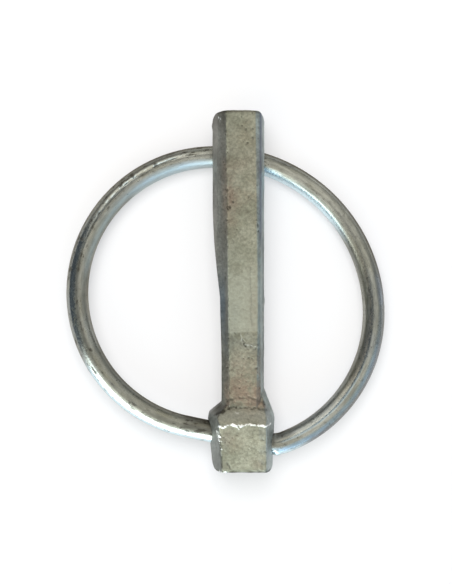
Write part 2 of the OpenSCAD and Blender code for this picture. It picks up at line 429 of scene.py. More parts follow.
def pin_rays(p, rows, around):
    """Rays that cover the pin: square to its middle line along the shank, and
    fanned over each end. Returns their origins and directions."""
    turn = np.linspace(0.0, 2.0 * math.pi, around, endpoint=False)
    middle = p.shank_right - p.shank_w / 2
    # The rays fan out from this far inside each end
    inset = 3.9 * MM
    low, high = -p.head_end + inset, p.tip - inset
    side_rows = int(rows * 0.84)
    # Rows lie closer together over the head and the neck
    t = np.linspace(0.0, 1.0, side_rows)
    y = low + (high - low) * (0.6 * t + 0.4 * t**2.4)
    cap = np.linspace(0.0, math.pi / 2, (rows - side_rows) // 2 + 1)[1:-1]
    pitch = np.concatenate([-cap[::-1], np.zeros(side_rows), cap])
    y = np.concatenate([np.full(len(cap), low), y, np.full(len(cap), high)])
    x = middle * rise(y, 8.0 * MM, 40.0 * MM)
    pitch, spin = np.meshgrid(pitch, turn, indexing="ij")
    rays = np.stack([np.cos(pitch) * np.cos(spin), np.sin(pitch),
                     np.cos(pitch) * np.sin(spin)], axis=-1)
    line = np.stack([x, y, np.zeros_like(y)], axis=-1)
    return np.broadcast_to(line[:, None, :], rays.shape), rays


def pin_body(p, origins, rays):
    """Distance along each ray to the bare forging: the shank and the head,
    each inside its own planes, merged by taking the farther. The left wall
    swells in a curve from the neck to the wide half."""
    left = p.shank_right - p.shank_w
    neck = p.shank_right - p.neck_w
    y = origins[..., 1]
    t = np.clip((y - p.swell_start) / p.swell_l, 0.0, 1.0)
    wall = neck - 0.06 * MM - 0.27 * MM * rise(y, 13 * MM, 26 * MM)
    wall = wall + (left - wall) * (1.0 - (1.0 - t) ** 1.75)
    near_wall = np.maximum(-rays[..., 0], 0.0) / (origins[..., 0] - wall)
    shank = reach(np.concatenate([nearness(origins, rays, shank_planes(p)),
                                  near_wall[None]]), SHANK_EDGES)
    head = reach(nearness(origins, rays, head_planes(p)), HEAD_EDGES)
    # The shank's planes have no lower end, so low down the head stands alone
    return np.where(y < 3.0 * MM, head, np.maximum(shank, head))


# Burrs, scratches and creases, each a line of [x, y] points in millimetres
# from the bore, as they lie seen from the front
RIDGE_BURR = ((-4.1, 2.9), (-3.4, 2.75), (-2.6, 3.05), (-1.5, 3.2),
              (-0.9, 3.0), (-0.3, 3.0), (0.8, 3.2), (1.7, 3.35), (2.6, 3.1),
              (4.7, 2.95), (5.4, 3.1), (6.0, 3.45))
RIDGE_TAIL = ((-0.95, 3.1), (-0.6, 2.35))
SIDE_BURR = ((-4.4, 1.8), (-4.15, 1.1), (-3.85, 0.2))
SIDE_NICKS = ((-3.85, 0.2), (-3.65, -1.5), (-3.5, -3.0))
NECK_GLINT = ((-1.1, 5.4), (-0.5, 5.05))
END_BURR = ((-3.9, -5.5), (-2.8, -5.6))
TIP_NICK = ((-4.7, 57.4), (-4.3, 58.2), (-3.7, 58.6), (-3.9, 57.9))
LONG_SCRATCH = ((-0.1, 19.6), (0.15, 17.7), (3.4, 17.0))
UPPER_CREASE = ((-2.6, 7.2), (-0.8, 8.0), (0.0, 7.8), (1.3, 8.0), (3.6, 7.1))
LOWER_CREASE = ((-4.8, 4.7), (-2.9, 5.6), (-1.6, 6.1), (0.7, 6.1), (3.5, 5.8), (4.8, 5.6))
SEAM = ((1.6, 31.5), (1.8, 21.0))
# The head's left edge, which gets painted shade
HEAD_EDGE = ((-3.4, -5.6), (-3.85, -0.2))
HEAD_SCRATCH = ((-2.6, -3.7), (-2.1, -4.8))
# Pits, each [x, y] and its size
PITS = ((1.9, 56.3, 0.22), (1.95, 54.7, 0.2), (0.7, 56.3, 0.15),
        (1.05, 53.9, 0.16), (-2.7, 45.5, 0.2), (-2.7, 44.1, 0.17),
        (-1.65, 43.2, 0.2), (-2.15, 42.5, 0.22), (-2.4, 42.1, 0.18),
        (1.25, 44.1, 0.2), (1.2, 15.1, 0.16), (2.0, 15.05, 0.16),
        (2.7, 13.25, 0.22), (3.95, 7.1, 0.18), (4.2, 6.6, 0.18),
        (3.85, -3.8, 0.2), (0.6, 17.3, 0.16), (0.3, 18.3, 0.12),
        (1.6, 17.2, 0.14), (2.6, 16.9, 0.14))


def stroke(xy, line, width):
    """1 on a line of points, falling off as a bell curve to either side."""
    gaps = []
    for a, b in zip(np.array(line[:-1]), np.array(line[1:])):
        t = np.clip(((xy - a) @ (b - a)) / ((b - a) @ (b - a)), 0.0, 1.0)
        gaps.append(np.linalg.norm(xy - a - t[..., None] * (b - a), axis=-1))
    return bump(np.min(gaps, axis=0), 0.0, width)


def pin_marks(points):
    """What forging, handling and rust left on the pin, and where shade and glints
    are painted, for points about the bore. Gives the height of each mark, and
    masks: dirt with painted shade at some edges, rust, clean (the least worn
    plating), blue, pale, navy and brown (its tones in places, which on the sides
    pick among painted shade and painted reflection tones) and bare metal painted
    near white as a glint."""
    q = points / MM
    x, y, z = np.moveaxis(q, -1, 0)
    wobble = 0.13 * layered(q * 1.8, 3, 41)
    xy = np.stack([x + wobble, y + 0.17 * layered(q * 2.1, 3, 47)], axis=-1)
    cloud = layered(q * 0.32, 3, 51)
    fleck = layered(q * 2.4, 2, 57)
    patchy = rise(layered(q * 1.1, 2, 61), -0.35, 0.35)
    ragged = layered(q * 4, 2, 67)
    front = rise(z, 2.2, 3.2)
    faces = rise(np.abs(z), 3, 3.9)
    face_edges = rise(np.abs(z), 2.2, 3.2)

    def broken(low, high):
        """What wear has left of a line."""
        return rise(ragged, low, high)

    def spot(up, tall, side, wide):
        """A soft spot: its place and size along the pin, then across it."""
        return bump(y, up, tall) * bump(x, side, wide)

    burr = front * (
        stroke(xy, RIDGE_BURR, 0.19 + 0.09 * ragged)
        + stroke(xy, RIDGE_TAIL, 0.10)
        + stroke(xy, SIDE_BURR, 0.26) * broken(-0.4, 0.2)
        + stroke(xy, SIDE_NICKS, 0.14) * broken(0.1, 0.4)
        + stroke(xy, END_BURR, 0.16)
        + 0.7 * stroke(xy, TIP_NICK, 0.12) * broken(-0.5, 0.3))
    scratch = front * (
        0.6 * stroke(xy, LONG_SCRATCH, 0.075) * broken(-0.6, 0.1)
        + 0.8 * stroke(xy, NECK_GLINT, 0.12))
    crease = faces * (
        0.6 * stroke(xy, UPPER_CREASE, 0.24) * (0.3 + 0.7 * patchy)
        + 0.35 * stroke(xy, SEAM, 0.13)
        + stroke(xy, LOWER_CREASE, 0.20 + 0.1 * ragged)
        * (0.35 + 0.5 * broken(-0.4, 0.3)))
    gouge = stroke(xy, HEAD_SCRATCH, 0.16) * front
    pits = front * np.max([bump(xy[..., 0], px, size)
                           * bump(xy[..., 1], py, size)
                           for px, py, size in PITS], axis=0)
    step = 19.75 + 0.1 * x + 0.25 * wobble
    clean = rise(y, step - 0.12, step + 0.12) * fall(y + 3 * cloud, 27, 36) * faces
    # Flecks gather along the edges of the flats
    edge = np.maximum(bump(x, 2.85, 0.3), bump(x, -2.55, 0.35))
    along_edge = edge * faces * rise(y, 9, 12)
    flecks = (rise(fleck + 0.14 * along_edge + 0.15 * cloud, 0.80, 0.98)
              * faces * (1 - 0.8 * clean))
    hollow = spot(6.9, 0.6, 0.4, 3.4) * faces
    nub = spot(57, 0.5, -5.4, 0.5) * bump(z, 0, 0.5)
    lump = bump(y, 25.2, 0.8) * rise(x, 3.4, 4.1) * bump(z, 0.6, 1.6)
    height = (0.10 * burr * (0.6 + 0.4 * fleck) + 0.05 * scratch
              - 0.07 * crease - 0.08 * gouge - 0.10 * pits - 0.05 * flecks
              - 0.05 * hollow + 0.16 * nub + 0.13 * lump)

    rust = faces * (
        0.95 * bump(y, 11, 5) * rise(x + 1.2 * cloud, -3.8, 0)
        + bump(y, 7.4, 1.8) * rise(y, 5.7, 6.2)
        + 0.35 * spot(25, 6, 2.2, 0.9) + 0.7 * spot(43.5, 5.5, -1.9, 1.5)
        + 0.35 * bump(y, 48, 6)
        + 0.45 * spot(0.9, 1.8, -2, 1.8) + 0.45 * spot(-4, 1, 3.2, 1.2))
    # Painted shade: on the neck's left corner, in a band along the neck, along the head's left
    # edge, along the head's end and along the tip's edge
    neck_corner_shade = spot(6, 1.1, -4.2, 1.1)
    neck_shade = bump(y, 6.7, 0.9) * faces * rise(-x, -1.5, 3)
    head_edge_shade = stroke(xy, HEAD_EDGE, 0.2) * front * broken(-0.7, 0)
    end_edge_shade = rise(-y, 5.1, 5.35) * face_edges * (1 - stroke(xy, END_BURR, 0.5))
    tip_edge_shade = rise(y, 59, 59.7) * face_edges
    shade = bump(y, 18, 2.2) * rise(19.9 - y, 0, 0.3) * faces
    worn_side = rise(x, 3.5, 4) * fall(y, 34, 42) * rise(y, 9, 11) * (0.3 + 0.4 * patchy)
    # Darker toward the flat's left, less so in the cleaner patch
    left_darkening = (fall(x + 0.6 * cloud, -2.6, 1) * faces
               * (0.45 + 0.55 * rise(y, 6, 9)) * (1 - 0.5 * clean))
    # Dirt in the creases, pits, gouge and flecks, with the painted shade above
    dirt = (0.95 * crease + 0.9 * pits + 0.85 * gouge + 0.7 * flecks
            + 0.6 * neck_corner_shade + 0.22 * neck_shade + 0.8 * head_edge_shade
            + 0.9 * end_edge_shade + 0.7 * tip_edge_shade + 0.3 * hollow * patchy
            + 0.26 * shade + 0.6 * worn_side + 0.20 * left_darkening)
    blue = (bump(y, 24.5, 5) * rise(-x, 2.6, 3.2)
            + 0.6 * patchy * rise(x, 2.9, 3.3)
            + faces * (0.9 * bump(y, 4.7, 1.3)
                       + 0.5 * patchy * bump(y, 17.5, 2.5)
                       + 0.5 * spot(0, 1.5, -2.9, 0.8)
                       + 0.35 * spot(23, 2.5, -1.2, 1)))
    pale = fall(y, 4.8, 6) + 0.4 * rise(x, 3.8, 4.1) * rise(y, 34, 40)
    navy = bump(x, 3.45, 0.34) * rise(y, 33, 38)
    brown = rise(-x, 2, 2.6) * (
        bump(y, 11, 5) + rise(y, 55.5, 58.5)
        + 0.5 * rise(x, -4.3, -3.7) * rise(y, 31, 38))
    # Bare metal on the burrs and the scratch, painted near white as a glint
    bright = rise(burr * (0.85 + 0.45 * ragged), 0.25, 0.75)
    return height * MM, {
        "dirt": unit(dirt),
        "rust": unit(rust * (0.65 + 0.5 * cloud + 0.35 * fleck)),
        "clean": clean,
        "blue": unit(blue),
        "pale": pale,
        "navy": navy,
        "brown": brown,
        "bare": unit(bright + 0.3 * scratch)}


def build_pin(p, r):
    """The forging: rays from the middle line out to its planes, then hammer
    marks, pits, creases and burrs raised on or pressed into the surface, and
    the bore taken out. The masks follow once the bore has changed the mesh."""
    origins, rays = pin_rays(p, PIN_ROWS, PIN_AROUND)
    far = pin_body(p, origins, rays)
    points = origins + rays * far[..., None]
    rough = layered(points / (2.4 * MM), 3, 3) * 0.03 * MM
    grain = layered(points / (0.5 * MM), 2, 11) * 0.008 * MM
    height, _ = pin_marks(points)
    points = points + rays * (rough + grain + height)[..., None]
    piece = closed_loft("pin_forging", at_rest(points),
                        at_rest(points[0].mean(axis=0)),
                        at_rest(points[-1].mean(axis=0)))
    cut(piece, bore_cutter(p, r))
    spots = read_out(piece.data.vertices, "co")
    sideways = read_out(piece.data.vertex_normals, "vector")[:, 0]
    _, masks = pin_marks(about_bore(spots.astype(float)))
    # The edges that turn to the left hold dirt here and there
    spotty = rise(noise(spots / MM * 2.2, 83), -0.3, 0.1)
    masks["dirt"] = unit(masks["dirt"] + 0.65 * spotty * bump(sideways, -0.24, 0.13))
    # The material paints shade on the sides that turn left and a reflection on those that turn
    # right
    masks["left"] = rise(-sideways, 0.15, 0.65)
    masks["right"] = rise(sideways, 0.15, 0.65)
    for name, values in masks.items():
        paint(piece, name, values)
    return piece


def bore_cutter(p, r):
    """The bore as a solid to take away: a profile turned about the bore's
    line, straight inside and flared at both mouths."""
    radius = r.wire_d / 2 + r.clearance
    start = r.bend_at - r.wire_d / 4
    stop = p.head_w / 2 + r.wire_d / 2
    s = np.array([-stop, -start, start, stop])
    size = np.array([radius + r.flare, radius, radius, radius + r.flare])
    turn = np.linspace(0.0, 2.0 * math.pi, WIRE_AROUND, endpoint=False)
    along, across = bore_line(r)
    up = np.array([0.0, 0.0, 1.0])
    circle = np.outer(np.cos(turn), across) + np.outer(np.sin(turn), up)
    rings = s[:, None, None] * along + size[:, None, None] * circle
    return closed_loft("bore_cutter", at_rest(rings), at_rest(-stop * along),
                       at_rest(stop * along))


def cut(piece, cutter):
    """Takes the cutter away from the piece, then deletes the cutter."""
    modifier = piece.modifiers.new("Bore", "BOOLEAN")
    modifier.operation = "DIFFERENCE"
    modifier.solver = "EXACT"
    modifier.object = cutter
    graph = bpy.context.evaluated_depsgraph_get()
    mesh = bpy.data.meshes.new_from_object(piece.evaluated_get(graph))
    piece.modifiers.clear()
    piece.data = mesh
    bpy.data.objects.remove(cutter)


# -------------------------------------------------------------------- ring

def ring_path(p, r):
    """The wire's middle line, as points, outward directions and distances
    along it. It is a straight end, three arcs and a bend, each tangent to the
    next, and the other straight end. The right arc's radius is the one that
    lets the bend start at its place on the bore's line. The last value is the
    lean that keeps the wire clear of the shank's back."""
    along, across = (line[:2] for line in bore_line(r))
    left_r = (r.inside + r.wire_d - r.bulge * (1 - math.cos(r.join))) / 2
    top_r = left_r + r.bulge
    left_c = -r.leg * along + left_r * across
    top_c = left_c - r.bulge * np.array([math.cos(r.join), math.sin(r.join)])
    span = r.bend_at - top_c @ along
    drop = top_r - top_c @ across
    room = top_r + top_c @ across - 2 * r.bend_r
    less = (drop * room - span**2) / (
        drop * (1 + along[1]) + room * (1 - along[1]) - 2 * span * along[0])
    right_r = top_r - less
    right_c = top_c + np.array([less, 0.0])
    bend_c = r.bend_at * along + r.bend_r * across
    bend_from = math.atan2(*(bend_c - right_c)[::-1])
    bend_to = -math.pi / 2 - r.skew
    step = 0.2 * MM
    points, outs = [], []

    def straight(start, stop):
        """Points on the bore's line, from one place to another."""
        n = max(int(abs(stop - start) / step), 2)
        s = np.linspace(start, stop, n, endpoint=False)
        points.append(s[:, None] * along)
        outs.append(np.broadcast_to(-across, (n, 2)))

    def arc(centre, radius, start, stop):
        """Points on an arc, from one bearing to another."""
        n = max(int(abs(stop - start) * radius / step), 2)
        a = np.linspace(start, stop, n, endpoint=False)
        out = np.stack([np.cos(a), np.sin(a)], axis=-1)
        points.append(centre + radius * out)
        outs.append(out)

    straight(-r.end_gap / 2, -r.leg)
    arc(left_c, left_r, 1.5 * math.pi - r.skew, r.join)
    arc(top_c, top_r, r.join, 0.0)
    arc(right_c, right_r, 0.0, bend_from)
    arc(bend_c, r.bend_r, bend_from, bend_to)
    straight(r.bend_at, r.end_gap / 2)
    points.append((r.end_gap / 2 * along)[None])
    outs.append(-across[None])
    path, out = np.concatenate(points), np.concatenate(outs)
    steps = np.linalg.norm(np.diff(path, axis=0), axis=1)
    gone = np.concatenate([[0.0], np.cumsum(steps)])
    edge_x = p.shank_right - p.shank_w + p.left_slope + p.left_bevel
    edge_y = left_c[1] + math.sqrt(left_r**2 - (edge_x - left_c[0])**2)
    lean = math.asin((p.shank_d / 2 + r.wire_d / 2 + r.gap)
                     / (edge_x * across[0] + edge_y * across[1]))
    return path, out, gone, lean


def lean_back(points, lean, r):
    """Turns points in the ring's plane about the bore's line, away from the
    pin's front."""
    along, across = (line[:2] for line in bore_line(r))
    s = points[..., :2] @ along
    n = points[..., :2] @ across
    z = points[..., 2]
    n, z = (n * math.cos(lean) + z * math.sin(lean), z * math.cos(lean) - n * math.sin(lean))
    flat = s[..., None] * along + n[..., None] * across
    return np.concatenate([flat, z[..., None]], axis=-1)


# Streaks of painted shade along the wire: strength, middle and width across the
# wire (1 is the ring's outside and -1 its inside), then the bearings in degrees
# where they start and stop and how softly
SHADE_STREAKS = ((0.45, 0.55, 0.25, -72, -4, 10),
                (0.85, 0.03, 0.18, 166, 206, 6),
                (0.3, 0.15, 0.10, 88, 118, 6),
                (0.9, 0.56, 0.12, 102, 150, 6),
                (0.3, 0.56, 0.10, 203, 216, 4),
                (0.3, -0.42, 0.12, -72, -40, 6),
                (0.75, -0.44, 0.13, 18, 62, 6),
                (0.4, -0.08, 0.16, 14, 38, 6))


def ring_marks(bearing, turn, wire):
    """What drawing, bending and handling left on the wire, and where shade,
    highlights and sheen are painted, for bearings round the ring in degrees,
    turns round the wire in degrees, counted from the ring's outside over its
    front, and points on the straightened wire in millimetres. Gives the height of
    each mark, and masks: dirt with painted shade, rust, a painted sheen along the
    wire's top, steel and olive (tones of the plating), painted highlights (one on
    a raised drip) and soft (less glossy)."""
    wide = layered(wire * np.array([0.20, 0.75, 0.75]), 3, 71)
    fine = layered(wire * np.array([1.1, 2.4, 2.4]), 3, 75)
    signed = np.where(bearing > 180, bearing - 360, bearing)
    facing = np.cos(np.radians(turn))

    def between(start, stop, soft=6):
        """1 from one bearing to the other. A stretch that starts below 0 is
        the one across the ring's right end, where bearings begin."""
        angle = signed if start < 0 else bearing
        return rise(angle, start - soft, start + soft) * fall(angle, stop - soft, stop + soft)

    def outward(low, high):
        """1 on the wire's side that faces out of the ring."""
        return rise(facing, low, high)

    def inward(low, high):
        """1 on the wire's side that faces into the ring."""
        return rise(-facing, low, high)

    def stretches(*places):
        """Shares of stretches, each with its bearings."""
        return sum(share * between(*place) for share, *place in places)

    def streak(middle, width, start, stop, soft=6):
        """A line along the wire, from one bearing to the other."""
        return bump(facing, middle, width) * between(start, stop, soft)

    # Two lines left by the bending tool, broken up by wear
    left_line = between(98, 170) * bump(turn, 84 - 0.12 * (165 - bearing) + 3 * wide, 3)
    right_line = between(-25, 58, 9) * bump(turn, 96 - 0.06 * (signed - 30) + 3 * wide, 2.8)
    lines = (left_line + 0.25 * right_line) * rise(fine, -0.6, 0.1)
    # A drip of plating next to the head, raised on the wire and painted bright as a highlight
    to_end = wire[..., 0].max() - wire[..., 0]
    drip = bump(to_end, 5.85, 0.5) * bump(facing, 0.84, 0.25)
    # Painted highlights where the wire's sides catch bright light, with the drip
    painted_highlight = np.maximum(
        outward(0.55, 0.9) * between(210, 297, 5),
        0.3 * inward(0.42, 0.75) * between(82, 130)
        + inward(0.5, 0.8) * between(34, 82, 9)
        + 0.65 * inward(0.2, 0.5) * between(66, 84, 3)
        + 0.65 * streak(-0.12, 0.09, -72, -26, 12)
        + 0.2 * streak(-0.72, 0.20, 132, 172)
        + 0.7 * streak(0.27, 0.09, 104, 146) * rise(fine, -0.2, 0.5)
        + drip)
    # Painted shade: the wire's sides darker than its face, and streaks of it
    outer = outward(0.60, 0.86)
    rim = outward(0.86, 0.97) * between(5, 165, 10)
    painted_shade = (outer * stretches((0.95, 62, 128, 14),
                              (0.45, 128, 172, 12),
                              (0.85, 10, 62, 8),
                              (0.15, -62, 10, 10))
            + rim * (0.6 + 0.4 * between(58, 104))
            + 0.5 * inward(0.76, 0.95) * between(190, 262)
            + inward(0.60, 0.95) * stretches((0.45, 205, 305, 10),
                                             (0.15, 305, 345, 10),
                                             (0.1, 172, 205, 8))
            + sum(share * streak(*place) for share, *place in SHADE_STREAKS))
    # Painted shade on the wire next to the head
    head_shade = (between(256, 270, 3) * inward(-0.5, 0)
                 + 0.8 * between(272, 294, 4) * inward(0.1, 0.45))
    crowd = (0.6 * head_shade + bump(turn, 80, 14) * between(212, 262)
             + bump(turn, 62, 16) * between(60, 160))
    specks = (rise(fine + 0.3 * crowd, 0.55, 0.8)
              * (1 - inward(0.1, 0.4) * between(10, 250))
              * (1 - 0.6 * between(-70, 70)))
    rust = unit(
        0.45 * rise(wide, -0.05, 0.5)
        + 0.45 * between(205, 262) * rise(turn, 62, 84)
        + 0.15 * between(30, 62) * fall(turn, 92, 106)
        + 0.5 * outer * between(55, 150))
    # A painted sheen along the wire's top, in two stretches, less where the clouds are
    fresh = ((between(-72, -24, 10) + 0.8 * between(22, 128, 10))
             * (1 - 0.6 * rise(wide, 0, 0.5))
             * fall(np.abs(facing + 0.05), 0.15, 0.5))
    inside = inward(0.05, 0.40)
    steel = (0.55 * inside * between(94, 138, 14)
             + 0.9 * outward(0.25, 0.6) * between(-78, 14, 10))
    olive = (0.7 * inward(0.12, 0.35) * fall(-facing, 0.65, 0.9)
             * between(-36, 36, 12)
             + 0.5 * inside * between(122, 186, 10))
    soft = (0.3 * inward(0.15, 0.6) + 0.1 * olive
            + inside * (0.6 * between(94, 180, 12)
                        + 0.4 * between(134, 182, 10)))
    thick = 1 - bump(bearing, 272, 24)
    height = (0.04 * thick - 0.035 * lines - 0.03 * specks + 0.012 * wide
              + 0.006 * fine + 0.35 * drip)
    return height * MM, {
        "dirt": unit(0.8 * lines + 0.75 * painted_shade + 0.8 * specks + 0.55 * head_shade),
        "rust": rust * (1 - 0.6 * fresh),
        "fresh": fresh,
        "bare": unit(painted_highlight),
        "steel": unit(steel),
        "olive": olive,
        "soft": soft}


def build_ring(p, r):
    """The wire: a circle carried along the path, with the bending tool's
    lines and small dents pressed into it, and masks for its painted shade,
    highlights and sheen."""
    path, out, gone, lean = ring_path(p, r)
    turn = np.linspace(0.0, 360.0, WIRE_AROUND, endpoint=False)
    radius = r.wire_d / 2
    c, s = np.cos(np.radians(turn)), np.sin(np.radians(turn))
    wire = np.stack(np.broadcast_arrays(gone[:, None], c * radius, s * radius), axis=-1)
    bearing = np.degrees(np.arctan2(out[:, 1], out[:, 0])) % 360.0
    # Marks that go by the turn are the same on the wire's front and back
    spin = np.where(turn > 180.0, 360.0 - turn, turn)
    height, masks = ring_marks(*np.broadcast_arrays(bearing[:, None], spin), wire / MM)
    # Inside the bore the wire keeps its true size
    in_ring = rise(np.minimum(gone, gone[-1] - gone), r.bend_at, r.bend_at + r.wire_d)
    size = (radius + np.minimum(height, 0.02 * MM) * in_ring[:, None]
            + np.maximum(height - 0.08 * MM, 0.0))
    flat = path[:, None, :] + out[:, None, :] * (size * c)[..., None]
    rings = np.concatenate([flat, (size * s)[..., None]], axis=-1)
    ends = np.concatenate([path[[0, -1]], np.zeros((2, 1))], axis=-1)
    # The path runs clockwise, so each ring is turned over to face outwards
    piece = closed_loft("ring_wire",
                        at_rest(lean_back(rings, lean, r)[:, ::-1]),
                        *at_rest(lean_back(ends, lean, r)))
    paint(piece, "wire", np.vstack([wire[:, ::-1].reshape(-1, 3),
                                    [gone[0], 0, 0], [gone[-1], 0, 0]]))
    for name, values in masks.items():
        paint(piece, name, np.append(values[:, ::-1].ravel(), [0.0, 0.0]))
    return piece


# --------------------------------------------------------------- materials

class Nodes:
    """Short calls for wiring a node tree."""

    def __init__(self, tree):
        self.tree = tree
        tree.nodes.clear()

    def add(self, kind, values=None, **settings):
        """A node with its settings made, then its sockets filled."""
        node = self.tree.nodes.new(kind)
        for key, value in settings.items():
            setattr(node, key, value)
        for key, value in (values or {}).items():
            self.plug(value, node.inputs[key])
        return node

    def plug(self, value, socket):
        """Links a socket, or sets it to a number, a vector or a colour."""
        if isinstance(value, bpy.types.NodeSocket):
            self.tree.links.new(value, socket)
        elif socket.type == "RGBA":
            socket.default_value = (*value, 1.0)
        else:
            socket.default_value = value

    def math(self, operation, a, b=0.0):
        """The node's sum on two numbers."""
        return self.add("ShaderNodeMath", {0: a, 1: b}, operation=operation).outputs[0]

    def times(self, a, b):
        """One number times another."""
        return self.math("MULTIPLY", a, b)

    def mix(self, factor, a, b, blend="MIX"):
        """From colour a to colour b."""
        return self.add("ShaderNodeMix", {"Factor": factor, "A": a, "B": b},
                        data_type="RGBA", blend_type=blend).outputs["Result"]

    def coats(self, tone, *layers):
        """Colours laid over one another, each where its mask is 1 and up to
        its share."""
        for mask, share, top in layers:
            tone = self.mix(self.times(mask, share), tone, top)
        return tone

    def total(self, value, *parts):
        """A number with shares of masks added to it."""
        for mask, share in parts:
            value = self.math("ADD", value, self.times(mask, share))
        return value

    def ramp(self, value, low, high, a=0.0, b=1.0):
        """A smooth rise from a, at low, to b, at high."""
        return self.add("ShaderNodeMapRange",
                        {"Value": value, "From Min": low, "From Max": high,
                         "To Min": a, "To Max": b},
                        interpolation_type="SMOOTHSTEP").outputs["Result"]

    def noise(self, vector, scale, detail=2.0, rough=0.5):
        """Smooth noise about 0.5."""
        return self.add("ShaderNodeTexNoise",
                        {"Vector": vector, "Scale": scale, "Detail": detail,
                         "Roughness": rough}).outputs["Fac"]

    def painted(self, names):
        """The masks painted on the mesh."""
        return [self.add("ShaderNodeAttribute",
                         attribute_name=name).outputs["Fac"]
                for name in names.split()]


def new_material(name):
    """A material and its empty node tree."""
    material = bpy.data.materials.new(name)
    material.use_nodes = True
    return material, Nodes(material.node_tree)


def metal(n, tone, rough, height, strength, depth, more=None):
    """The metal shader, with fine relief, as the material's surface."""
    relief = n.add("ShaderNodeBump", {"Strength": strength, "Distance": depth,
                                      "Height": height}).outputs["Normal"]
    shader = n.add("ShaderNodeBsdfPrincipled",
                   {"Base Color": tone, "Metallic": 1.0, "Roughness": rough,
                    "Normal": relief, **(more or {})})
    n.add("ShaderNodeOutputMaterial", {"Surface": shader.outputs["BSDF"]})


# What the grain group gives
GRAIN = ("Cloud", "Tint", "Grain", "Relief")


def grain_group():
    """Plating as it weathers, built once for both materials: tone clouds, a
    wider set of clouds for the tint, fine grain, and a relief that adds the
    grain to a coarser one."""
    group = bpy.data.node_groups.get("Plating grain")
    if group:
        return group
    group = bpy.data.node_groups.new("Plating grain", "ShaderNodeTree")
    face = group.interface
    face.new_socket("Place", in_out="INPUT", socket_type="NodeSocketVector")
    for name in ("Clouds per metre", "Grains per metre"):
        face.new_socket(name, in_out="INPUT", socket_type="NodeSocketFloat")
    for name in GRAIN:
        face.new_socket(name, in_out="OUTPUT", socket_type="NodeSocketFloat")
    n = Nodes(group)
    given = n.add("NodeGroupInput").outputs
    place, clouds = given["Place"], given["Clouds per metre"]
    grains = given["Grains per metre"]
    moved = n.add("ShaderNodeMapping", {"Vector": place, "Location": (0.031, 0.017, 0.023)})
    moved = moved.outputs["Vector"]
    grain = n.noise(place, grains, 3.0, 0.7)
    coarse = n.noise(moved, n.times(grains, 0.38), 2.0, 0.6)
    n.add("NodeGroupOutput", {
        "Cloud": n.noise(place, clouds, 4.0, 0.62),
        "Tint": n.noise(moved, n.times(clouds, 0.7), 3.0, 0.6),
        "Grain": grain,
        "Relief": n.math("ADD", n.times(grain, 0.55), n.times(coarse, 0.9))})
    return group


def grain_outputs(n, place, cloud_size, grain_size):
    """The grain group's cloud, tint, grain and relief, for sizes of its clouds
    and grains in millimetres."""
    outputs = n.add("ShaderNodeGroup",
                    {"Place": place, "Clouds per metre": 1000.0 / cloud_size,
                     "Grains per metre": 1000.0 / grain_size},
                    node_tree=grain_group()).outputs
    return [outputs[name] for name in GRAIN]


# Colours in places, as linear colours: a tone of the plating on the pin's flats,
# painted shade on its sides that turn left and a painted reflection on those that
# turn right, and on the ring a painted sheen along the wire's top and two tones of
# the plating
FLAT_BLUE = (0.258, 0.268, 0.245)
LEFT_SHADE_DARK, LEFT_SHADE_LIGHT = (0.166, 0.160, 0.141), (0.228, 0.220, 0.196)
LEFT_SHADE_BLUE, LEFT_SHADE_PALE = (0.132, 0.150, 0.164), (0.238, 0.243, 0.225)
LEFT_SHADE_BROWN = (0.138, 0.130, 0.112)
RIGHT_SHEEN_DARK, RIGHT_SHEEN_LIGHT = (0.240, 0.260, 0.246), (0.345, 0.370, 0.342)
RIGHT_SHEEN_BLUE, RIGHT_SHEEN_PALE = (0.275, 0.325, 0.320), (0.395, 0.430, 0.415)
RIGHT_SHEEN_NAVY = (0.155, 0.172, 0.200)
WIRE_SHEEN, WIRE_STEEL = (0.47, 0.465, 0.41), (0.275, 0.303, 0.332)
WIRE_OLIVE = (0.285, 0.242, 0.178)


